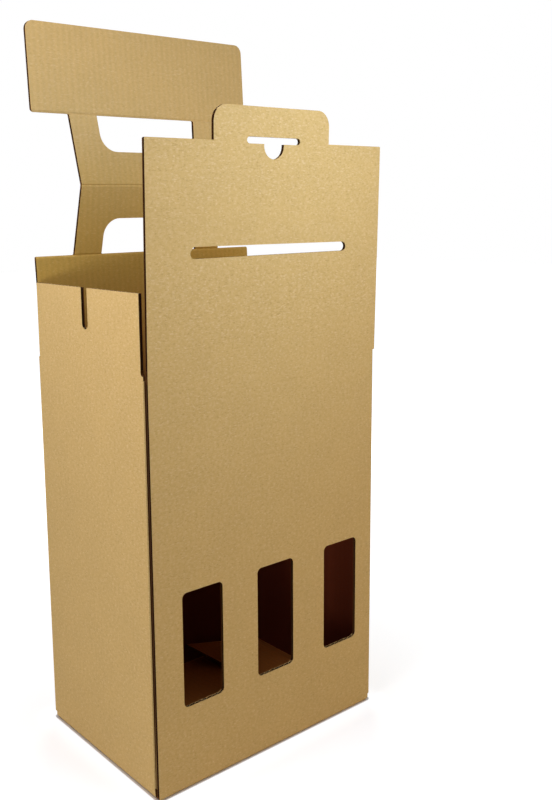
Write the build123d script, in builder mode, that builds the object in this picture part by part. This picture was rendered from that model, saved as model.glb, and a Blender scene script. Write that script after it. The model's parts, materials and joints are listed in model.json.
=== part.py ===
"""Carrier for six bottles, folded and glued from one die-cut sheet of corrugated board.

The frame has its origin in the middle of the base, on the floor. +X runs to the right along
the front, -Y points out of the front and +Z is up. The box stands open, with its lid, its side
flaps and its back flap raised on creases at one height.
"""
import os
from math import atan2, cos, radians, sin, tan

from build123d import *

os.makedirs("parts", exist_ok=True)

# The sheet
board = 2.8  # thickness of the corrugated board
fold_radius = 3.4  # outside radius of a folded corner
die_corner = 1.2  # corner that the cutting rule leaves where the blank has a plain corner
overrun = 12.0  # how far a cutting body runs past the board

# The tube
width = 250.0
depth = 172.0
crease_height = 348.0  # floor to the creases of the four top flaps
crease_gap = 0.4  # between the top of a wall and the round foot of its flap
score_height = 1.2  # the pressed score thins the top of a wall over this height
score_depth = 0.8  # and takes this off each face
glue_tab_width = 24.0
glue_tab_taper = 10.0  # how much shorter the tab's free edge is, at each end
joint_depth = 5.0  # front face to the fold of the glue tab, so the joint gapes at the corner
joint_fold = 0.8  # outside radius of that fold
joint_run = 6.0  # the tab goes straight in over this length
joint_slant = 8.0  # and over this one it slants forward on to the front wall
seam_inset = 0.3  # the front wall's raw edge lies this far inside the left wall's face

# The three windows
window_count = 3
window_width = 41.4
window_height = 98.2
window_sill = 72.0  # floor to the lower edge
window_pitch = 79.4
window_shift = 2.5  # the row lies this far right of the middle
window_corner = 4.5

# The lid with its tuck tab
lid_length = 175.3
lid_lean = 1.3  # degrees out of upright
lid_slot_length = 168.0
lid_slot_width = 7.8
lid_slot_rise = 90.4  # crease to the middle of the slot
tab_width = 122.5
tab_length = 26.7
tab_corner = 12.5
tab_slot_length = 56.5
tab_slot_width = 5.3
tab_slot_rise = 1.0  # tab's root to the middle of its slot
finger_radius = 10.5
finger_drop = 1.2  # the finger hole's centre lies this far below the slot's edge

# The side flaps
side_flap_length = 62.7
side_slot_width = 9.0
side_slot_depth = 34.0
front_slit = 7.6  # front face to the flap's front edge
back_slit = 4.0  # back face to the flap's back edge
slit_round = 2.0  # the round end of the front slit

# The back flap, the doubled handle and the inner flap that follow one another
back_flap_length = 84.7
back_flap_inset = 3.5
back_flap_lean = 2.7  # degrees out of upright
grip_length = 62.5  # each of the two handle panels
grip_lean = 8.2  # degrees forward for the lower panel, backward for the upper one
grip_inset = 42.2  # side of the box to the foot of an arm
arm_width = 28.3
waist_taper = 5.2  # how far each arm runs in towards the fold between the panels
hand_hole_height = 32.0
hand_hole_corner = 17.0
inner_flap_length = 76.7
inner_flap_inset = 5.5
inner_flap_lean = 3.5  # degrees backward
inner_flap_corner = 8.0
inner_flap_root_corner = 3.0

# The self-locking bottom
layer_gap = 0.2  # between the long flaps and the side flaps that lie on them
bottom_clearance = 1.0  # bottom flaps to the walls that they don't hang on
bottom_taper = 6.0  # how much narrower a bottom flap gets towards its free edge
seam_gap = 1.2  # between the two long flaps
lock_reach = 14.0  # how far the long half of each long flap passes the middle
lock_shift = 22.0  # middle of the base to the middle of the slanting step in the seam
lock_step = 12.0  # width of that step
side_ramp = 14.0  # over this length a side flap climbs from the floor on to the long flaps
side_reach = 71.0  # side wall to a side flap's free edge
loose_reach = 104.0  # side wall to the tip of its longer, loose corner
spring_lift = 25.0  # degrees that the loose corner stands up
spring_reach = 40.0  # middle of the box to the end of the lifted corner's fold

# Planes that the pieces share
left = -width / 2
right = width / 2
front = -depth / 2
back = depth / 2
half_board = board / 2
mid_radius = fold_radius - half_board
side_floor = board + layer_gap
wall_foot = side_floor + fold_radius
wall_top = crease_height - half_board - crease_gap


def mirrored(points):
    """The right half of an outline, and then its mirror image back to the start."""
    return points + [(-x, y) for x, y in reversed(points)]


def turned(point, side):
    """The point itself for side 1, or the point turned half round the upright axis for side -1."""
    return Vector(side * point.X, side * point.Y, point.Z)


def round_foot(center, direction, length):
    """Adds the round foot that a flap turns on, along its crease."""
    with Locations(Plane(origin=center, z_dir=direction).location):
        Cylinder(half_board, length)


# Plan of the tube: one strip from the glue tab's fold round to the front wall
tab_end = left + glue_tab_width
tab_fold = front + joint_depth
front_join = tab_end + fold_radius  # here the front wall meets its own left end
tube_line = [
    (left + half_board, tab_fold + joint_fold),
    (left + half_board, back - half_board),
    (right - half_board, back - half_board),
    (right - half_board, front + half_board),
    (front_join, front + half_board),
]

# Plan of the glue tab, which slants forward behind its fold and then lies on the front wall's back
tab_face = front + board
bend_start = left + joint_run
bend_end = bend_start + joint_slant
bend_shift = board * tan(atan2(tab_fold - tab_face, joint_slant) / 2)
tab_plan = [
    (left, tab_fold),
    (bend_start, tab_fold),
    (bend_end, tab_face),
    (tab_end, tab_face),
    (tab_end, tab_face + board),
    (bend_end + bend_shift, tab_face + board),
    (bend_start + bend_shift, tab_fold + board),
    (left + board, tab_fold + board),
    (left + board, tab_fold + fold_radius),
    (left, tab_fold + fold_radius),
]
tab_corners = [joint_fold, 0, 0, 0, 0, 0, 0, 0, 0, 0]

# Plan of the two long bottom flaps, which lock into each other along a stepped seam
side_root = right - side_ramp
long_root = front + fold_radius + bottom_clearance
long_half = side_root - bottom_clearance
lock_seam = [
    (long_half - bottom_taper, -lock_reach),
    (lock_shift + lock_step / 2, -lock_reach),
    (lock_shift - lock_step / 2, lock_reach),
    (bottom_taper - long_half, lock_reach),
]

# Plan of the right side flap, whose loose back corner springs up about a slanting fold
side_level = side_floor + half_board
side_flat = side_root - fold_radius
side_edge = right - side_reach
side_far = back - joint_depth
spring_start = Vector(side_flat, side_far, side_level)
spring_end = Vector(side_edge, spring_reach, side_level)
side_plan = [
    (side_flat, -side_far),
    (spring_start.X, spring_start.Y),
    (spring_end.X, spring_end.Y),
    (side_edge, bottom_taper - side_far),
]
spring_run = spring_end - spring_start
spring_along = spring_run.normalized()
spring_normal = Vector(0, 0, 1).rotate(Axis((0, 0, 0), spring_along), -spring_lift)
loose_corner = Vector(right - loose_reach, side_far - bottom_clearance, side_level) - spring_start
loose_along = loose_corner.dot(spring_along)
loose_across = loose_corner.cross(spring_along).length

with BuildPart() as carton:
    # The tube, thinner at the very top where the creases are pressed
    for low, high, thickness in (
        (wall_foot, wall_top - score_height, board),
        (wall_top - score_height, wall_top, board - 2 * score_depth),
    ):
        with BuildSketch(Plane.XY.offset(low)):
            with BuildLine():
                FilletPolyline(*tube_line, radius=mid_radius)
            trace(line_width=thickness)
        extrude(amount=high - low)
    # The glue tab, with its ends cut back on a slant
    with BuildSketch(Plane.XY.offset(wall_foot)):
        with BuildLine():
            FilletPolyline(*tab_plan, radius=tab_corners, close=True)
        make_face()
    extrude(amount=wall_top - score_height - wall_foot)
    with BuildSketch(Plane.XZ.offset(-tab_face)):
        for end, inward in ((wall_foot, 1), (wall_top, -1)):
            with BuildLine():
                Polyline(
                    (left + fold_radius, end),
                    (tab_end, end + inward * glue_tab_taper),
                    (tab_end, end),
                    close=True,
                )
            make_face()
    extrude(amount=tab_face - tab_fold - fold_radius, mode=Mode.SUBTRACT)
    # The front wall's left end lies over the tab and shows its raw edge
    for low, high, inset in (
        (wall_foot, wall_top - score_height, 0),
        (wall_top - score_height, wall_top, score_depth),
    ):
        with BuildSketch(Plane.XY.offset(low)):
            with Locations((left + seam_inset, front + inset)):
                Rectangle(front_join - left - seam_inset, board - 2 * inset, align=(Align.MIN, Align.MIN))
        extrude(amount=high - low)

    # The front and back walls turn in under the box to the long bottom flaps
    for side, leg_left in ((1, left + seam_inset), (-1, left + fold_radius)):
        with BuildSketch(Plane.YZ.offset(leg_left)):
            with BuildLine():
                FilletPolyline(
                    (side * (front + half_board), wall_foot),
                    (side * (front + half_board), half_board),
                    (side * long_root, half_board),
                    radius=mid_radius,
                )
            trace(line_width=board)
        extrude(amount=right - fold_radius - leg_left)
        with BuildSketch():
            with BuildLine():
                FilletPolyline(
                    (-long_half, side * long_root),
                    (long_half, side * long_root),
                    *[(x, y - side * seam_gap / 2) for x, y in lock_seam],
                    radius=die_corner,
                    close=True,
                )
            make_face()
        extrude(amount=board)

    # The side walls turn in to the side flaps, which climb on to the long ones
    for side in (1, -1):
        with BuildSketch(Plane.XZ):
            with BuildLine():
                FilletPolyline(
                    (side * (right - half_board), wall_foot + fold_radius),
                    (side * (right - half_board), half_board),
                    (side * side_root, side_level),
                    (side * side_flat, side_level),
                    radius=mid_radius,
                )
            trace(line_width=board)
        extrude(amount=side_far, both=True)
        with BuildSketch(Plane.XY.offset(side_floor)):
            with BuildLine():
                Polyline(*[(side * x, side * y) for x, y in side_plan], close=True)
            make_face()
        extrude(amount=board)
        lifted = Plane(
            origin=turned(spring_start, side),
            x_dir=turned(spring_along, side),
            z_dir=turned(spring_normal, side),
        )
        with BuildSketch(lifted):
            with BuildLine():
                Polyline((0, 0), (spring_run.length, 0), (loose_along, -loose_across), close=True)
            make_face()
        extrude(amount=half_board, both=True)
        with Locations(Plane(origin=lifted.origin, z_dir=lifted.x_dir).location):
            Cylinder(half_board, spring_run.length, align=(Align.CENTER, Align.CENTER, Align.MIN))

    # Windows in the front wall
    with BuildSketch(Plane.XZ.offset(-front)):
        with Locations((window_shift, window_sill + window_height / 2)):
            with GridLocations(window_pitch, 0, window_count, 1):
                RectangleRounded(window_width, window_height, window_corner)
    extrude(amount=overrun, both=True, mode=Mode.SUBTRACT)

carton.part.label = "carton"
export_step(carton.part, "parts/carton.step")

# The lid: the front flap, with the handle's slot across it and the tuck tab on its free edge.
# Its plane has its origin on the crease, in the middle of the box, and its y axis up the lid.
lid_plane = Plane(
    origin=(0, front + half_board, crease_height),
    x_dir=(1, 0, 0),
    z_dir=Vector(0, -1, 0).rotate(Axis.X, lid_lean),
)
lid_left = left + seam_inset
tab_slot_level = lid_length + tab_slot_rise
tab_half = tab_width / 2

with BuildPart() as lid:
    with BuildSketch(lid_plane):
        with BuildLine():
            FilletPolyline(
                (lid_left, 0),
                (right, 0),
                (right, lid_length),
                (tab_half, lid_length),
                (tab_half, lid_length + tab_length),
                (-tab_half, lid_length + tab_length),
                (-tab_half, lid_length),
                (lid_left, lid_length),
                radius=[0, 0, die_corner, 0, tab_corner, tab_corner, 0, die_corner],
                close=True,
            )
        make_face()
        with Locations((0, lid_slot_rise)):
            SlotOverall(lid_slot_length, lid_slot_width, mode=Mode.SUBTRACT)
        with Locations((0, tab_slot_level)):
            SlotOverall(tab_slot_length, tab_slot_width, mode=Mode.SUBTRACT)
        with Locations((0, tab_slot_level - tab_slot_width / 2 - finger_drop)):
            Circle(finger_radius, mode=Mode.SUBTRACT)
    extrude(amount=half_board, both=True)
    # The finger hole is a half moon, so the tab is whole again above its slot
    with BuildSketch(lid_plane):
        with Locations((0, tab_slot_level + tab_slot_width / 2)):
            Rectangle(2 * finger_radius, finger_radius, align=(Align.CENTER, Align.MIN))
    extrude(amount=half_board, both=True)
    round_foot(((lid_left + right) / 2, front + half_board, crease_height), (1, 0, 0), right - lid_left)

lid.part.label = "lid"
export_step(lid.part, "parts/lid.step")

# The side flaps. The left one's plane has its origin on its crease and its x axis to the back.
left_plane = Plane(origin=(left + half_board, 0, crease_height), x_dir=(0, 1, 0), z_dir=(1, 0, 0))
flap_front = front + front_slit
flap_back = back - back_slit
flap_middle = (flap_front + flap_back) / 2

with BuildPart() as left_flap:
    with BuildSketch(left_plane):
        with BuildLine():
            foot_line = Line((flap_front - slit_round, 0), (flap_back, 0))
            outline = FilletPolyline(
                foot_line @ 1,
                (flap_back, side_flap_length),
                (flap_front, side_flap_length),
                (flap_front, slit_round),
                radius=die_corner,
            )
            RadiusArc(outline @ 1, foot_line @ 0, slit_round)
        make_face()
        with Locations((flap_middle, side_flap_length)):
            SlotOverall(2 * side_slot_depth, side_slot_width, rotation=90, mode=Mode.SUBTRACT)
    extrude(amount=half_board, both=True)
    foot_length = flap_back - flap_front + slit_round
    foot_middle = flap_middle - slit_round / 2
    round_foot((left + half_board, foot_middle, crease_height), (0, 1, 0), foot_length)

left_flap.part.label = "left_flap"
export_step(left_flap.part, "parts/left_flap.step")

with BuildPart() as right_flap:
    mirror(left_flap.part, about=Plane.YZ)

right_flap.part.label = "right_flap"
export_step(right_flap.part, "parts/right_flap.step")

# The back flap runs on into the two handle panels and the inner flap. Its side view is a strip
# that bends at each fold, and its front view cuts that strip to the outline of the blank.
fold_points = [Vector(0, back - half_board, crease_height)]
for run, lean in (
    (back_flap_length, back_flap_lean),
    (grip_length, -grip_lean),
    (grip_length, grip_lean),
    (inner_flap_length, inner_flap_lean),
):
    fold_points.append(fold_points[-1] + Vector(0, run * sin(radians(lean)), run * cos(radians(lean))))
crease_level, base_level, waist_level, top_level, free_level = [point.Z for point in fold_points]

flap_half = right - back_flap_inset
inner_half = right - inner_flap_inset
arm_foot = right - grip_inset
arm_waist = arm_foot - waist_taper
hole_foot = arm_foot - arm_width
hole_taper = waist_taper * hand_hole_height / grip_length
blank_outline = mirrored(
    [
        (flap_half, crease_level - half_board),
        (flap_half, base_level),
        (arm_foot, base_level),
        (arm_waist, waist_level),
        (arm_foot, top_level),
        (inner_half, top_level),
        (inner_half, free_level),
    ]
)
blank_corners = [
    0,
    die_corner,
    die_corner,
    die_corner,
    die_corner,
    inner_flap_root_corner,
    inner_flap_corner,
]

with BuildPart() as back_flap:
    with BuildSketch(Plane.YZ):
        with BuildLine():
            FilletPolyline(*[(point.Y, point.Z) for point in fold_points], radius=mid_radius)
        trace(line_width=board)
    extrude(amount=flap_half, both=True)
    round_foot(fold_points[0], (1, 0, 0), 2 * flap_half)
    with BuildSketch(Plane.XZ):
        with BuildLine():
            FilletPolyline(*blank_outline, radius=blank_corners + blank_corners[::-1], close=True)
        make_face()
        for level, inward in ((base_level, 1), (top_level, -1)):
            hole_end = level + inward * hand_hole_height
            hole_outline = mirrored([(hole_foot, level), (hole_foot - hole_taper, hole_end)])
            with BuildLine():
                FilletPolyline(
                    *hole_outline,
                    radius=[die_corner, hand_hole_corner, hand_hole_corner, die_corner],
                    close=True,
                )
            make_face(mode=Mode.SUBTRACT)
    extrude(amount=depth, both=True, mode=Mode.INTERSECT)

back_flap.part.label = "back_flap"
export_step(back_flap.part, "parts/back_flap.step")
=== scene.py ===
# %% [markdown]
# # A bottle carrier in corrugated board
# The carrier is one die-cut sheet of brown corrugated board, folded and glued into a tall tube
# with three windows, and photographed open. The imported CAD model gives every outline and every
# hinge. This lesson turns its plain solids into board that one can look into at the cut edges,
# gives the paper its colour and fibres, and sets the camera and the light of a studio picture.

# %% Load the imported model
import json
from math import ceil, cos, pi, radians, sin, sqrt

import bmesh
import bpy
from mathutils import Matrix, Vector
from mathutils.bvhtree import BVHTree

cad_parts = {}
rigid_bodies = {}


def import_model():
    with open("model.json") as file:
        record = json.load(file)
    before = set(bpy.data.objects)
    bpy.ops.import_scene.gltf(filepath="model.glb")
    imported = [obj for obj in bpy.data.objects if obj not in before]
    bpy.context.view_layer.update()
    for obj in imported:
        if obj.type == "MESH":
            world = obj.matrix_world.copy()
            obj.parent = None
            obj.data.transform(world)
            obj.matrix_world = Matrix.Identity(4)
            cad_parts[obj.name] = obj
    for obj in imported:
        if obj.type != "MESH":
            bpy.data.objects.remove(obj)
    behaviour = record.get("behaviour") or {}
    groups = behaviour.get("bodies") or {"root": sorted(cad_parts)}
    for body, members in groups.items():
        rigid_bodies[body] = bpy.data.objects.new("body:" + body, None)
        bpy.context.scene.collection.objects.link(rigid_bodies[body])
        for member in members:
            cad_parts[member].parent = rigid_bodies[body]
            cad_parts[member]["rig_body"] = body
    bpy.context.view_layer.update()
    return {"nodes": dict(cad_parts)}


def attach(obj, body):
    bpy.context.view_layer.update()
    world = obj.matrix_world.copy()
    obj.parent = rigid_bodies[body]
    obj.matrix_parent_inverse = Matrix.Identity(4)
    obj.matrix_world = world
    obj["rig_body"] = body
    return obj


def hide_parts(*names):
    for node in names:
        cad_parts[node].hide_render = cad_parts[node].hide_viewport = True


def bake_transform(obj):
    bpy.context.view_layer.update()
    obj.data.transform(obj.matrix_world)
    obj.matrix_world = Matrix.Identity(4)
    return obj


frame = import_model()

MM = 0.001
scene = bpy.context.scene

# %% [markdown]
# Three small helpers serve every material. Colours are easiest to pick as sRGB hex values, but a
# shader adds light, which only works in linear numbers, so one function converts them. The second
# adds a node, sets its properties, and fills its sockets with values or with other nodes' outputs.
# The third starts a material with an empty tree.

# %% Helpers for materials


def linear(hex_colour):
    """The linear RGBA of an sRGB hex value."""
    parts = [int(hex_colour[i : i + 2], 16) / 255 for i in (1, 3, 5)]
    return tuple(p / 12.92 if p <= 0.04045 else ((p + 0.055) / 1.055) ** 2.4 for p in parts) + (1,)


def add(tree, kind, inputs=None, **settings):
    """Adds one node; inputs gives a socket a value or another node's output."""
    node = tree.nodes.new(kind)
    for name, value in settings.items():
        setattr(node, name, value)
    for name, value in (inputs or {}).items():
        if isinstance(value, bpy.types.NodeSocket):
            tree.links.new(value, node.inputs[name])
        else:
            node.inputs[name].default_value = value
    return node


def new_material(name):
    """An empty material and its node tree."""
    material = bpy.data.materials.new(name)
    material.use_nodes = True
    material.node_tree.nodes.clear()
    return material, material.node_tree


print("a mid brown", [round(c, 3) for c in linear("#C8A870")])

# %% [markdown]
# The camera stands in front of the left corner, a little above the box's middle. Its place, its
# turn and its focal length were fitted to the corners of the CAD model, so the picture lines up
# without moving anything. The long side of the image is the sensor's 36 mm.

# %% Camera
IMAGE_WIDTH, IMAGE_HEIGHT = 552, 800
FOCAL_PIXELS = 925.3
AXIS_PIXEL = (218.4, 361.6)  # where the lens axis meets the picture
camera_place = Vector((-0.5065, -0.6490, 0.4718))
camera_turn = radians(-38.606)
camera_down = radians(9.378)
camera_roll = radians(-0.890)

camera_data = bpy.data.cameras.new("studio_camera")
camera_data.sensor_width = 36
camera_data.lens = FOCAL_PIXELS * camera_data.sensor_width / IMAGE_HEIGHT
camera_data.shift_x = (IMAGE_WIDTH / 2 - AXIS_PIXEL[0]) / IMAGE_HEIGHT
camera_data.shift_y = (AXIS_PIXEL[1] - IMAGE_HEIGHT / 2) / IMAGE_HEIGHT
camera = bpy.data.objects.new("studio_camera", camera_data)
camera.matrix_world = (
    Matrix.Translation(camera_place)
    @ Matrix.Rotation(camera_turn, 4, "Z")
    @ Matrix.Rotation(pi / 2 - camera_down, 4, "X")
    @ Matrix.Rotation(camera_roll, 4, "Z")
)
scene.collection.objects.link(camera)
scene.camera = camera
print("lens", round(camera_data.lens, 1), "mm")

# %% [markdown]
# The picture has a pure white ground. A sky of that strength would flood the board with light from
# all sides and wash its shading out. So the world is white only to the eye, in mirrors and through
# clear things too, and to the board it is a weak, slightly warm fill.

# %% World


def eye_rays(tree):
    """1 for rays from the camera, also mirrored ones or ones through clear things, and else 0."""
    path = add(tree, "ShaderNodeLightPath")
    seen = path.outputs["Is Camera Ray"]
    for kind in ("Is Glossy Ray", "Is Transmission Ray"):
        seen = add(tree, "ShaderNodeMath", {0: seen, 1: path.outputs[kind]},
                   operation="MAXIMUM").outputs[0]
    return seen


world = bpy.data.worlds.new("studio")
world.use_nodes = True
tree = world.node_tree
tree.nodes.clear()
fill = add(tree, "ShaderNodeBackground", {"Color": linear("#FFE4BC"), "Strength": 0.05})
white = add(tree, "ShaderNodeBackground", {"Color": (1, 1, 1, 1), "Strength": 1.0})
mix = add(tree, "ShaderNodeMixShader", {
    0: eye_rays(tree), 1: fill.outputs[0], 2: white.outputs[0]})
add(tree, "ShaderNodeOutputWorld", {"Surface": mix.outputs[0]})
scene.world = world
scene.view_settings.view_transform = "Standard"
print("world", world.name, "with a fill of", round(fill.inputs["Strength"].default_value, 3))

# %% [markdown]
# The floor is white, matt paper, too rough for reflections, that throws light back up at the walls.
# Lit by the lamps alone it would turn grey away from the box. So for the eye alone it adds light
# of its own, by the distance from the foot of the box: hardly any right under the fold, which
# paints a dark contact shadow line there, less close by, which paints a darker ring where the faint
# shadow falls, and more far away.

# %% Floor paper
WIDTH, DEPTH = 250 * MM, 172 * MM
FOOT_ROUND = 4 * MM
# Ranges of the distance, each with the factors of the floor's own light at its start and its end.
# The first paints the dark shadow line at the foot, the second the painted darker ring near the
# box.
EYE_GLOW_AND_PAINTED_FOOT_SHADE = (
    (FOOT_ROUND, FOOT_ROUND + 1.1 * MM, 0.02, 1.0),
    (5 * MM, 25 * MM, 0.75, 0.63),
    (25 * MM, 600 * MM, 1.0, 1.85),
)

floor_paper, tree = new_material("matt_white_paper")
place = add(tree, "ShaderNodeTexCoord")
# The distance is counted from the foot's outline drawn in by FOOT_ROUND, so its corners are round
drawn_in = (WIDTH / 2 - FOOT_ROUND, DEPTH / 2 - FOOT_ROUND, 1)
reach = add(tree, "ShaderNodeVectorMath", {0: place.outputs["Object"]}, operation="ABSOLUTE")
reach = add(tree, "ShaderNodeVectorMath", {0: reach.outputs[0], 1: drawn_in}, operation="SUBTRACT")
reach = add(tree, "ShaderNodeVectorMath", {0: reach.outputs[0], 1: (0, 0, 0)}, operation="MAXIMUM")
reach = add(tree, "ShaderNodeVectorMath", {0: reach.outputs[0]}, operation="LENGTH")
lift = eye_rays(tree)
for start, end, low, high in EYE_GLOW_AND_PAINTED_FOOT_SHADE:
    share = add(tree, "ShaderNodeMapRange", {
        "Value": reach.outputs["Value"], "From Min": start, "From Max": end,
        "To Min": low, "To Max": high})
    lift = add(tree, "ShaderNodeMath", {0: lift, 1: share.outputs[0]},
               operation="MULTIPLY").outputs[0]
surface = add(tree, "ShaderNodeBsdfPrincipled", {
    "Base Color": linear("#E6DECE"), "Roughness": 0.9, "Specular IOR Level": 0.1,
    "Emission Color": linear("#F2F8FF"), "Emission Strength": lift})
add(tree, "ShaderNodeOutputMaterial", {"Surface": surface.outputs[0]})
print(floor_paper.name, "with light of its own in", len(EYE_GLOW_AND_PAINTED_FOOT_SHADE), "ranges")

# %% [markdown]
# One large square is floor enough, because the world behind it is the same white. It lies a hair
# under the box, so that the two never share a plane.

# %% Floor
FLOOR_HALF = 6.0
FLOOR_DROP = 0.2 * MM

bm = bmesh.new()
bmesh.ops.create_grid(bm, x_segments=1, y_segments=1, size=FLOOR_HALF)
bmesh.ops.translate(bm, verts=bm.verts, vec=(0, 0, -FLOOR_DROP))
floor_mesh = bpy.data.meshes.new("floor")
bm.to_mesh(floor_mesh)
bm.free()
floor = bpy.data.objects.new("floor", floor_mesh)
floor_mesh.materials.append(floor_paper)
scene.collection.objects.link(floor)
print("floor", 2 * FLOOR_HALF, "m wide")

# %% [markdown]
# A small studio table is lit from close by, which is why the lid is so much brighter than the
# foot of the box; lamps far away could not do that. One soft lamp hangs in front of the lid, and a
# second one high at the left lights the left wall and looks over it on to the handle. Two stand
# low and further away, left and right. One behind the box keeps its other sides readable.

# %% Lamps
BOX_MIDDLE = Vector((0, 0, 0.30))

for name, place, size, power, colour in (
    ("front_softbox", (0.06, -0.38, 0.62), 0.2, 1.47, "#D0E1FF"),
    ("left_softbox", (-0.45, -0.05, 0.75), 0.35, 2.95, "#EAEBFF"),
    ("low_left_softbox", (-1.3, -0.55, 0.1), 0.35, 7.8, "#FBF8FF"),
    ("low_right_softbox", (0.7, -0.9, 0.3), 0.35, 2.2, "#FFD79C"),
    ("back_softbox", (0.9, 1.1, 0.75), 0.6, 8, "#FFFFFF"),
):
    data = bpy.data.lights.new(name, "AREA")
    data.shape = "SQUARE"
    data.size = size
    data.energy = power
    data.color = linear(colour)[:3]
    lamp = bpy.data.objects.new(name, data)
    lamp.location = place
    lamp.rotation_euler = (BOX_MIDDLE - Vector(place)).to_track_quat("-Z", "Y").to_euler()
    lamp.visible_camera = False
    scene.collection.objects.link(lamp)
    print(name, "at", place, power, "W")

# %% [markdown]
# Kraft liner is unbleached paper, pressed smooth by the drying rolls of the paper machine. The
# eye gets a tan that is never even: cloudy over centimetres, mottled over millimetres, with
# sparse light and dark fibres. The fibres lie along the machine's run, which is across the
# flutes, so on standing walls the flecks are stretched sideways. The grain could be laid out flat
# on each panel; noise in the space of the box needs no layout and runs on over every fold.

# %% Grain of the paper
MOTTLE = (3.2 * MM, 2.6 * MM)  # along the run, and across it
# Single fibres are 2 mm by 0.2 mm, too fine for the picture, so they are drawn 2.6 by 1 mm
FIBRE = (2.6 * MM, 1.0 * MM)
FIBRE_SHIFT = (7, 3, 5)  # takes the fibres off the mottle's own pattern
PALE, DARK = "#EEDBB2", "#8E6B26"


def grain(tree, place, size, shift, detail, roughness):
    """Noise with spots of the given size along the paper's run and across it."""
    along, across = size
    run = add(tree, "ShaderNodeMapping", {
        "Vector": place.outputs["Object"], "Location": shift,
        "Scale": (1 / along, 1 / along, 1 / across)})
    noise = add(tree, "ShaderNodeTexNoise", {
        "Vector": run.outputs[0], "Scale": 1.0, "Detail": detail, "Roughness": roughness})
    return noise.outputs["Fac"]


def flecked(tree, colour, mottle, fibre, speckle):
    """The colour with the grain in it, as strong as speckle says.

    The mottle swings both ways; only the tails of the fibre noise become pale and dark flecks.
    """
    for noise, middle, edge, tint, most in (
        (mottle, 0.5, 0.75, PALE, 0.22), (mottle, 0.5, 0.25, DARK, 0.16),
        (fibre, 0.62, 0.70, PALE, 0.28), (fibre, 0.38, 0.30, DARK, 0.24),
    ):
        share = add(tree, "ShaderNodeMapRange", {
            "Value": noise, "From Min": middle, "From Max": edge,
            "To Min": 0.0, "To Max": most * speckle})
        colour = add(tree, "ShaderNodeMix", {
            "Factor": share.outputs[0], "A": colour, "B": linear(tint)},
            data_type="RGBA").outputs["Result"]
    return colour


print("mottle of", MOTTLE[0] / MM, "mm, fibres of", FIBRE[0] / MM, "mm along the run")

# %% [markdown]
# Down inside the tube, light has met brown paper many times and each time lost more of its blue.
# Following so many bounces would take long and leave noise, so that shade is painted into the liner
# there and on the lower back flap's inside: redder and darker the lower it is. The bottom, seen
# through the windows, has one such painted brown.

# %% Painted shade down in the tube
# Heights on the way down, and the painted shade there: the share of red, green and blue kept
TUBE_PAINTED_SHADE = (
    (540 * MM, (1, 1, 1)),
    (420 * MM, (1.09, 1.05, 0.62)),
    (345 * MM, (0.85, 0.64, 0.34)),
    (250 * MM, (0.22, 0.05, 0.015)),
)
# Painted shade on the bottom inside: one dark, red brown all over
BOTTOM_PAINTED_SHADE = ((0, (0.66, 0.28, 0.09)),)


def paint_shade_by_height(tree, colour, place, levels):
    """The colour darkened and reddened by painted shade at each height, blended between the levels'
    shares.
    """
    height = add(tree, "ShaderNodeSeparateXYZ", {0: place.outputs["Object"]})
    left = add(tree, "ShaderNodeCombineXYZ", dict(zip("XYZ", levels[0][1]))).outputs[0]
    for (above, _), (level, shares) in zip(levels, levels[1:]):
        depth = add(tree, "ShaderNodeMapRange", {
            "Value": height.outputs["Z"], "From Min": above, "From Max": level,
            "To Min": 0.0, "To Max": 1.0})
        left = add(tree, "ShaderNodeMix", {
            "Factor": depth.outputs[0], "A": left, "B": shares + (1,)},
            data_type="RGBA").outputs["Result"]
    left = add(tree, "ShaderNodeVectorMath", {0: colour, 1: left}, operation="MULTIPLY")
    return left.outputs[0]


print("darkest at", round(TUBE_PAINTED_SHADE[-1][0] / MM), "mm and below")

# %% [markdown]
# The liner puts these together. The flutes behind it show through the softer inner paper as faint
# upright stripes and as a washboard that only low light finds; on the outside they hardly show.
# Both come from one wave over the sheet, so that light and relief agree.

# %% Kraft liner
FLUTE_PITCH = 5.8 * MM
CLOUD = 30 * MM
PAPER_IOR = 1.48
WASHBOARD = 4  # relief of the flutes for each share of their stripes


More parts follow.
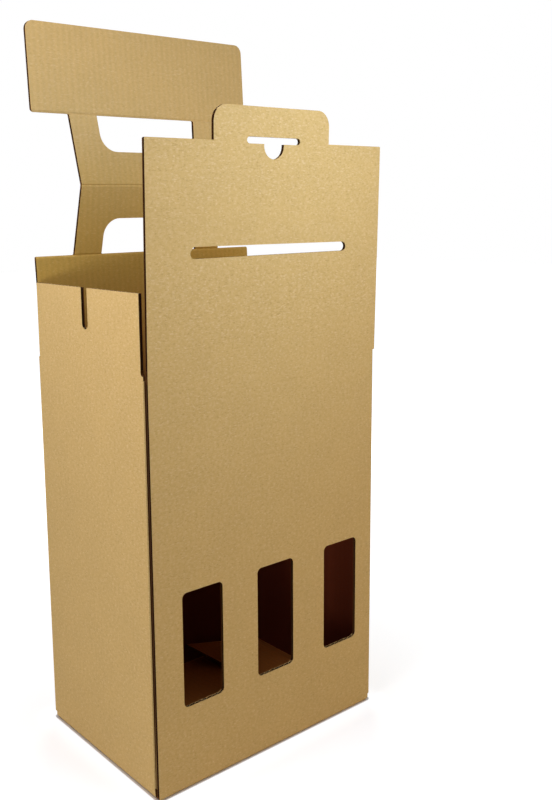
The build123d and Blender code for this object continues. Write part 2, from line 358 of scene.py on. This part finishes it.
def kraft_liner(name, stripe, speckle, levels=()):
    """Liner paper; stripe is how strongly the flutes show through, speckle how strongly the fibres.

    The levels, if any, are heights from the top down with the painted shade there, as shares of
    red, green and blue.
    """
    material, tree = new_material(name)
    place = add(tree, "ShaderNodeTexCoord")
    cloud = add(tree, "ShaderNodeTexNoise", {
        "Vector": place.outputs["Object"], "Scale": 1 / CLOUD, "Detail": 2.0})
    mottle = grain(tree, place, MOTTLE, (0, 0, 0), detail=5.0, roughness=0.65)
    fibre = grain(tree, place, FIBRE, FIBRE_SHIFT, detail=1.0, roughness=0.5)
    sheet = add(tree, "ShaderNodeSeparateXYZ", {0: place.outputs["UV"]})
    turn = add(tree, "ShaderNodeMath", {0: sheet.outputs["X"], 1: 2 * pi / FLUTE_PITCH},
               operation="MULTIPLY")
    flute = add(tree, "ShaderNodeMath", {0: turn.outputs[0]}, operation="SINE")

    # The tan, with small swings for clouds and flutes, then its flecks
    shade = add(tree, "ShaderNodeMapRange", {
        "Value": cloud.outputs["Fac"], "From Min": 0.3, "From Max": 0.7,
        "To Min": 0.98, "To Max": 1.02})
    striped = add(tree, "ShaderNodeMapRange", {
        "Value": flute.outputs[0], "From Min": -1.0, "From Max": 1.0,
        "To Min": 1 - stripe, "To Max": 1 + stripe})
    shade = add(tree, "ShaderNodeMath", {0: shade.outputs[0], 1: striped.outputs[0]},
                operation="MULTIPLY")
    tan = add(tree, "ShaderNodeVectorMath", {
        0: linear("#CCAB69")[:3], "Scale": shade.outputs[0]}, operation="SCALE")
    colour = flecked(tree, tan.outputs[0], mottle, fibre, speckle)
    if levels:
        colour = paint_shade_by_height(tree, colour, place, levels)

    # Relief: the flutes' washboard and the felt of the fibres
    relief = add(tree, "ShaderNodeMath", {0: flute.outputs[0], 1: WASHBOARD * stripe},
                 operation="MULTIPLY")
    relief = add(tree, "ShaderNodeMath", {0: relief.outputs[0], 1: mottle}, operation="ADD")
    bump = add(tree, "ShaderNodeBump", {
        "Height": relief.outputs[0], "Strength": 0.35, "Distance": 0.06 * MM})
    rough = add(tree, "ShaderNodeMapRange", {
        "Value": mottle, "From Min": 0.3, "From Max": 0.7, "To Min": 0.72, "To Max": 0.86})
    surface = add(tree, "ShaderNodeBsdfPrincipled", {
        "Base Color": colour, "Roughness": rough.outputs[0], "IOR": PAPER_IOR,
        "Specular IOR Level": 0.3, "Normal": bump.outputs[0]})
    add(tree, "ShaderNodeOutputMaterial", {"Surface": surface.outputs[0]})
    return material


INNER_PAPER = {"stripe": 0.026, "speckle": 0.65}
outer_liner = kraft_liner("kraft_liner_outside", stripe=0.004, speckle=1.0)
inner_liner = kraft_liner("kraft_liner_inside", **INNER_PAPER)
tube_liner_painted_shade = kraft_liner("kraft_liner_tube_painted_shade", **INNER_PAPER, levels=TUBE_PAINTED_SHADE)
bottom_liner_painted_shade = kraft_liner("kraft_liner_bottom_painted_shade", **INNER_PAPER, levels=BOTTOM_PAINTED_SHADE)
print("liners", [m.name for m in (outer_liner, inner_liner, tube_liner_painted_shade, bottom_liner_painted_shade)])

# %% [markdown]
# A cut edge is another surface: the cutting rule tears the paper, so its ends are rougher than the
# calendered face. A cut across the flutes shows the pale ends of the three papers. A cut along them
# opens a flute, and one looks at the side of the fluting, which is recycled paper, rough and brown.
# The dark brown of the cut edge and the near black of the fluting are partly their own colour and
# partly painted shade: the shade in the open flutes and on cut edges that face sideways. All three
# are the same kind of torn fibre, so one function makes them.

# %% Cut edge and fluting
# Torn fibre ends are about 0.1 mm wide, too fine for the picture, so the specks are drawn coarser
CUT_SPECK, FLUTING_SPECK = 0.8 * MM, 0.6 * MM


def torn_paper(name, brown, speck):
    """Paper seen at a cut or inside the board; speck is the size of its speckle."""
    material, tree = new_material(name)
    place = add(tree, "ShaderNodeTexCoord")
    speckle = add(tree, "ShaderNodeTexNoise", {
        "Vector": place.outputs["Object"], "Scale": 1 / speck, "Detail": 2.0})
    shade = add(tree, "ShaderNodeMapRange", {
        "Value": speckle.outputs["Fac"], "From Min": 0.3, "From Max": 0.7,
        "To Min": 0.8, "To Max": 1.2})
    colour = add(tree, "ShaderNodeVectorMath", {
        0: linear(brown)[:3], "Scale": shade.outputs[0]}, operation="SCALE")
    bump = add(tree, "ShaderNodeBump", {
        "Height": speckle.outputs["Fac"], "Strength": 0.5, "Distance": 0.1 * MM})
    surface = add(tree, "ShaderNodeBsdfPrincipled", {
        "Base Color": colour.outputs[0], "Roughness": 0.92, "IOR": PAPER_IOR,
        "Specular IOR Level": 0.15, "Normal": bump.outputs[0]})
    add(tree, "ShaderNodeOutputMaterial", {"Surface": surface.outputs[0]})
    return material


# Dark brown: partly torn paper, partly painted shade on cut edges that face sideways
cut_edge_painted_shade = torn_paper("cut_board_edge_painted_shade", "#50300F", CUT_SPECK)
cut_ends = torn_paper("cut_flute_ends", "#C8A468", CUT_SPECK)
# Nearly black: the fluting's own brown with the shade in the open flutes painted into it
fluting = torn_paper("recycled_fluting_painted_shade", "#2C1605", FLUTING_SPECK)
FINISHES = [outer_liner, inner_liner, tube_liner_painted_shade, bottom_liner_painted_shade, cut_edge_painted_shade, cut_ends, fluting]
OUTER, INNER, TUBE, BOTTOM, EDGE, ENDS, FLUTING = range(len(FINISHES))
print("finishes", [m.name for m in FINISHES])

# %% [markdown]
# The CAD solids are solid board. Real board is two liners with a wave of fluting between them,
# and that shows wherever the sheet was cut. Modelling three sheets for every panel would repeat
# all the outlines; instead each node is copied and the air channels of the flutes are bored out
# of it with one boolean. What is left is the liners and the fluting, in the CAD's own outline.
# The channels stop short of the folds, where the score has crushed the flutes flat.

# %% Channels of the flutes
BOARD = 2.8 * MM
LINER = 0.35 * MM
CORE_HALF = BOARD / 2 - LINER
# A channel's section: shares of the pitch across, and of the core's half height up
CHANNEL = ((0.40, 1.0), (0.20, -0.04), (0.08, -0.55), (-0.08, -0.55), (-0.20, -0.04), (-0.40, 1.0))


def prism(bm, ring, along, finish):
    """Adds a prism to a cutting body: a ring of points, and the same ring moved along."""
    rings = [[bm.verts.new(point + move) for point in ring] for move in (Vector(), along)]
    for one in range(len(ring)):
        two = (one + 1) % len(ring)
        side = bm.faces.new((rings[0][one], rings[0][two], rings[1][two], rings[1][one]))
        side.material_index = finish
    for end in rings:
        bm.faces.new(end).material_index = finish


def bore_channels(bm, foot, across, along, first, last, low, high):
    """Adds the flutes' air channels of one panel to a cutting body.

    The panel's middle plane goes through foot and holds the directions across and along the flutes.
    The channels lie from first to last across it and run from low to high.
    """
    normal = across.cross(along)
    start = foot + along * low
    for step in range(2 * ceil((last - first) / FLUTE_PITCH)):
        side = 1 if step % 2 == 0 else -1
        middle = first + step * FLUTE_PITCH / 2
        ring = [
            start + across * (middle + share * FLUTE_PITCH) + normal * (side * height * CORE_HALF)
            for share, height in CHANNEL
        ]
        prism(bm, ring, along * (high - low), FLUTING)


print("core", round(2 * CORE_HALF / MM, 2), "mm between liners of", LINER / MM, "mm")

# %% [markdown]
# Each copy also needs to know which of its faces are paper and which are cut edges. Picking them
# by hand would not survive a change in the CAD, so a ray decides: a face that has another face one
# board's thickness behind it is liner, and every other face is a cut. The liner is the outside of
# the sheet where it looks away from the middle of the box. The UV map holds each point's place on
# the sheet, across and along the flutes, for the stripes.

# %% Sorting the faces
THICKEST = 2.2 * BOARD  # where the front wall lies on the glue tab, the board is double
WELD = 0.002 * MM
NUDGE = 0.01 * MM  # the ray starts this far under its face
STEEP = 0.7  # a normal with more than this along an axis counts as facing that way


def inside(node):
    """The finish of a node's inner side."""
    # The carton and the back flap get the liner with painted shade down the tube
    return TUBE if node in ("carton", "back_flap") else INNER


def board_copy(node):
    """A welded copy of a CAD node's mesh, with its faces sorted into liner and cut edge."""
    bm = bmesh.new()
    bm.from_mesh(frame["nodes"][node].data)
    bmesh.ops.remove_doubles(bm, verts=bm.verts, dist=WELD)
    bm.normal_update()
    probe = BVHTree.FromBMesh(bm)
    for face in bm.faces:
        middle = face.calc_center_median()
        start = middle - face.normal * NUDGE
        behind = probe.ray_cast(start, -face.normal)[3]
        if behind is None or behind > THICKEST:
            # Cuts that look up or down keep the pale paper ends; the others get the cut edge with
            # painted shade
            face.material_index = ENDS if abs(face.normal.z) > STEEP else EDGE
        elif abs(face.normal.z) > STEEP:
            face.material_index = OUTER if face.normal.z < 0 else BOTTOM
        else:
            outward = face.normal.x * middle.x + face.normal.y * middle.y
            face.material_index = OUTER if outward > 0 else inside(node)
    mesh = bpy.data.meshes.new(node + "_board")
    bm.to_mesh(mesh)
    bm.free()
    for finish in FINISHES:
        mesh.materials.append(finish)
    return mesh


def lay_sheet(mesh):
    """UV map of each corner's place on the sheet: across the flutes, and along them."""
    layer = mesh.uv_layers.new(name="sheet")
    for face in mesh.polygons:
        sideways = abs(face.normal.x) > STEEP
        for loop in face.loop_indices:
            point = mesh.vertices[mesh.loops[loop].vertex_index].co
            layer.data[loop].uv = (point.y if sideways else point.x, point.z)


print("liner has a face behind it within", round(THICKEST / MM, 2), "mm")

# %% [markdown]
# Cutting is done with booleans. Left on the piece as modifiers they would need their cutting
# bodies kept in the scene, so each one is worked in at once. The exact solver takes longer than
# the fast one and copes with the many thin walls between the channels. Weighted normals then keep
# the wide flat faces flat beside all the small ones.

# %% A piece of board
ROUND_BELOW = 35  # edges that turn by fewer degrees are shaded round


def applied(piece):
    """The piece's mesh with its modifiers worked in."""
    shown = piece.evaluated_get(bpy.context.evaluated_depsgraph_get())
    mesh = bpy.data.meshes.new_from_object(shown)
    piece.modifiers.clear()
    return mesh


def take_out(piece, cutter):
    """Cuts a body out of the piece with one exact boolean."""
    bmesh.ops.recalc_face_normals(cutter, faces=cutter.faces)
    tool_mesh = bpy.data.meshes.new("tool")
    cutter.to_mesh(tool_mesh)
    cutter.free()
    for finish in FINISHES:
        tool_mesh.materials.append(finish)
    tool = bpy.data.objects.new("tool", tool_mesh)
    scene.collection.objects.link(tool)
    cut = piece.modifiers.new("cut", "BOOLEAN")
    cut.operation = "DIFFERENCE"
    cut.solver = "EXACT"
    cut.object = tool
    piece.data = applied(piece)
    bpy.data.objects.remove(tool)


def board_piece(node, cutters, round_below=ROUND_BELOW):
    """Makes the node as corrugated board: its copy with each cutting body in turn taken out."""
    piece = bpy.data.objects.new(node + "_board", board_copy(node))
    scene.collection.objects.link(piece)
    for cutter in cutters:
        take_out(piece, cutter)
    piece.data.shade_smooth()
    piece.data.set_sharp_from_angle(angle=radians(round_below))
    even = piece.modifiers.new("even", "WEIGHTED_NORMAL")
    even.keep_sharp = True
    piece.data = applied(piece)
    lay_sheet(piece.data)
    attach(piece, frame["nodes"][node]["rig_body"])
    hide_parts(node)
    print(piece.name, len(piece.data.polygons), "faces")


print("edges under", ROUND_BELOW, "degrees are shaded round")

# %% [markdown]
# The lid is the front wall's flap. It leans out by 1.3 degrees from its crease, and its channels
# lean with it. Its bare left edge cuts a channel open from end to end, which, with the shade
# painted into the browns of the fluting and the cut edge, is why it looks dark in the picture. The
# upper edge of its slot rises a little to the left there, so a thin wedge is taken off that edge
# first.

# %% The lid
CREASE = 348 * MM
LEFT, FRONT = -WIDTH / 2, -DEPTH / 2
X_AXIS, Y_AXIS, Z_AXIS = Vector((1, 0, 0)), Vector((0, 1, 0)), Vector((0, 0, 1))
CRUSHED = 3.8 * MM  # from a fold to where the flutes are open again
SEAM_INSET = 0.3 * MM  # from the left wall's face to the raw left edge
LID_LEAN = radians(1.3)
LID_REACH = 205 * MM  # past the end of the tuck tab
# The wedge across and up the lid, in mm: round at the slot's left end, nothing at its right end
WEDGE = (
    (-82.5, 93.2), (-81.8, 94.6), (-80.6, 95.4), (-78, 95.6),
    (80, 94.3), (80, 93.4), (-80, 93.4),
)

lid_foot = Vector((0, FRONT + BOARD / 2, CREASE))
lid_up = Vector((0, -sin(LID_LEAN), cos(LID_LEAN)))
wedge = bmesh.new()
ring = [lid_foot + X_AXIS * x * MM + lid_up * up * MM + Y_AXIS * BOARD for x, up in WEDGE]
prism(wedge, ring, -Y_AXIS * 2 * BOARD, ENDS)
cutter = bmesh.new()
bore_channels(cutter, lid_foot, X_AXIS, lid_up, LEFT + SEAM_INSET, -LEFT, CRUSHED, LID_REACH)
board_piece("lid", [wedge, cutter])

# %% [markdown]
# The side flaps stand straight up, and their flutes run up too, across the depth of the box. The
# slit in front of them is a little wider in the picture than in the CAD, so their front edges are
# trimmed by 1.2 mm first, and the channels start at the new edge.

# %% The side flaps
FLAP_REACH = 66 * MM  # past the top edge
FRONT_SLIT, BACK_SLIT = 8.8 * MM, 4.0 * MM

for name, side in (("left_flap", -1), ("right_flap", 1)):
    foot = Vector((side * (WIDTH / 2 - BOARD / 2), 0, CREASE))
    edge = FRONT + FRONT_SLIT
    trim = bmesh.new()
    ring = [foot + Vector((x, y, -CRUSHED)) for x, y in (
        (-BOARD, FRONT), (BOARD, FRONT), (BOARD, edge), (-BOARD, edge))]
    prism(trim, ring, Z_AXIS * (FLAP_REACH + CRUSHED), EDGE)
    cutter = bmesh.new()
    bore_channels(cutter, foot, Y_AXIS, Z_AXIS, edge, -FRONT - BACK_SLIT, CRUSHED, FLAP_REACH)
    board_piece(name, [trim, cutter])

# %% [markdown]
# The back flap goes on into the two panels of the handle and the inner flap. Each panel leans
# its own way, so each gets its own run of channels. The folds between them were scored from the
# inside: a shallow groove that gives a dark line with a light one under it. A painted line would
# not turn with the light, so the groove is cut.

# %% The back flap
# Each panel's length, and its lean to the back in degrees
PANELS = ((84.7 * MM, 2.7), (62.5 * MM, -8.2), (62.5 * MM, 8.2), (76.7 * MM, 3.5))
PANEL_HALF = WIDTH / 2 - 3.5 * MM
GROOVE_HALF, GROOVE_DEPTH = 1.5 * MM, 0.65 * MM
FOLDS_SHARP = 3  # degrees; keeps the folds as lines


def groove(bm, middle, along, inward):
    """Adds a shallow V across the width of a panel; inward points from its face into the board."""
    rise = along * GROOVE_HALF
    sink = inward * GROOVE_DEPTH
    section = (middle - rise - sink, middle - rise, middle + sink, middle + rise,
               middle + rise - sink)
    prism(bm, [point - X_AXIS * WIDTH for point in section], X_AXIS * 2 * WIDTH, TUBE)


cutter = bmesh.new()
back_foot = Vector((0, -FRONT - BOARD / 2, CREASE))
foot = back_foot
ups = []
for length, lean in PANELS:
    up = Vector((0, sin(radians(lean)), cos(radians(lean))))
    ups.append(up)
    high = length + CRUSHED if len(ups) == len(PANELS) else length - CRUSHED
    bore_channels(cutter, foot, X_AXIS, up, -PANEL_HALF, PANEL_HALF, CRUSHED, high)
    if len(ups) > 1:
        mean = (ups[-2] + up).normalized()
        inward = Vector((0, mean.z, -mean.y))
        groove(cutter, foot - inward * BOARD / 2, mean, inward)
    foot = foot + up * length
board_piece("back_flap", [cutter], round_below=FOLDS_SHARP)

# %% [markdown]
# In the carton only the front wall and the bottom show cut edges: at the windows, along the raw
# edge over the glue tab, and where the bottom flaps end. The other walls keep their solid board,
# because nobody can look into them. The long bottom flaps' flutes run from front to back. The
# front panel's lower left corner is cut round first.

# %% The carton
WALL_LOW, WALL_HIGH = 4.2 * MM, 343 * MM
WALL_INSET = 4 * MM  # from the right corner's fold
FLOOR_INSET = 10 * MM
LONG_FLAP_HALF = 110 * MM
CORNER = 4 * MM
CORNER_DEPTH = 4.5 * MM  # back from the front face

raw_edge = LEFT + SEAM_INSET
outline = [(raw_edge - CORNER, -CORNER), (raw_edge + CORNER, -CORNER)]
for degrees in range(0, 91, 15):
    turned = radians(degrees)
    outline.append((raw_edge + CORNER - CORNER * sin(turned), CORNER - CORNER * cos(turned)))
outline.append((raw_edge - CORNER, CORNER))
corner = bmesh.new()
ring = [Vector((x, FRONT - BOARD, z)) for x, z in outline]
prism(corner, ring, Y_AXIS * (BOARD + CORNER_DEPTH), EDGE)
cutter = bmesh.new()
bore_channels(cutter, Vector((0, FRONT + BOARD / 2, 0)), X_AXIS, Z_AXIS,
              raw_edge, -LEFT - WALL_INSET, WALL_LOW, WALL_HIGH)
bore_channels(cutter, Vector((0, 0, BOARD / 2)), X_AXIS, Y_AXIS,
              -LONG_FLAP_HALF, LONG_FLAP_HALF, FRONT + FLOOR_INSET, -FRONT - FLOOR_INSET)
board_piece("carton", [corner, cutter])

# %% [markdown]
# The CAD leaves a hair's gap at each crease so that the flaps can turn. On the real sheet the
# paper goes on across it. Wall and flap could be joined into one mesh, but then the flaps would be
# no pieces of their own. So a short strip of board lies over each crease, just proud of both
# faces, and bends from the wall's direction to its flap's.

# %% A strip over a crease
SCORE_REACH = 4.4 * MM
SCORE_ROWS = 18
SCORE_PROUD = 0.03 * MM
TURN_HALF = 1.6 * MM


def score_mesh(node, middle, run, half_length, outward, up, slit):
    """The strip's mesh: rows of four points, from the wall over the crease on to the flap."""
    bm = bmesh.new()
    rows = []
    for row in range(SCORE_ROWS + 1):
        reach = SCORE_REACH * (2 * row / SCORE_ROWS - 1)
        point = middle + (up if reach > 0 else Z_AXIS) * reach
        # The direction turns from the wall's to the flap's near the crease
        share = min(max(reach / TURN_HALF / 2 + 0.5, 0), 1)
        direction = Z_AXIS.lerp(up, share).normalized()
        normal = (outward - direction * outward.dot(direction)).normalized()
        # The first and the last row sink into the board, so that no step shows
        sunk = row in (0, SCORE_ROWS)
        half = BOARD / 2 + (-SCORE_PROUD if sunk else SCORE_PROUD)
        # The round end of the slit moves the start of the strip along
        below = slit - min(max(reach, 0), slit)
        start = sqrt(slit**2 - below**2) - half_length
        rows.append([
            bm.verts.new(point + run * end + normal * (face * half))
            for end, face in ((start, 1), (half_length, 1), (half_length, -1), (start, -1))
        ])
    for low, high in zip(rows, rows[1:]):
        for one, finish in enumerate((OUTER, EDGE, inside(node), EDGE)):
            two = (one + 1) % 4
            bm.faces.new((low[one], low[two], high[two], high[one])).material_index = finish
    bm.faces.new(rows[0][::-1]).material_index = EDGE
    bm.faces.new(rows[-1]).material_index = EDGE
    bmesh.ops.recalc_face_normals(bm, faces=bm.faces)
    mesh = bpy.data.meshes.new(node + "_score")
    bm.to_mesh(mesh)
    bm.free()
    return mesh


def crease(node, middle, run, half_length, outward, up, slit=0):
    """A strip over one crease: run is its direction, up the flap's, outward the way the wall faces.

    Above the crease its start follows the round end, with the radius slit, of the cut beside the
    flap.
    """
    mesh = score_mesh(node, middle, run, half_length, outward, up, slit)
    for finish in FINISHES:
        mesh.materials.append(finish)
    mesh.shade_smooth()
    mesh.set_sharp_from_angle(angle=radians(ROUND_BELOW))
    lay_sheet(mesh)
    strip = bpy.data.objects.new(node + "_score", mesh)
    scene.collection.objects.link(strip)
    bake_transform(strip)
    print(strip.name, round(2 * half_length / MM, 1), "mm long")


print("strips reach", SCORE_REACH / MM, "mm to both sides of a crease")

# %% [markdown]
# The lid's and the back flap's strips are as long as their creases. The slit in front of a side
# flap has a round end, so the strip there starts further forward and follows the round.

# %% The four creases
SLIT_ROUND = 3.2 * MM

crease("lid", lid_foot + X_AXIS * SEAM_INSET / 2, X_AXIS, (WIDTH - SEAM_INSET) / 2, -Y_AXIS, lid_up)
crease("back_flap", back_foot, X_AXIS, PANEL_HALF, Y_AXIS, ups[0])
flap_start, flap_end = FRONT + FRONT_SLIT - SLIT_ROUND, -FRONT - BACK_SLIT
for name, side in (("left_flap", -1), ("right_flap", 1)):
    middle = Vector((side * (WIDTH - BOARD) / 2, (flap_start + flap_end) / 2, CREASE))
    crease(name, middle, Y_AXIS, (flap_end - flap_start) / 2, X_AXIS * side, Z_AXIS, SLIT_ROUND)
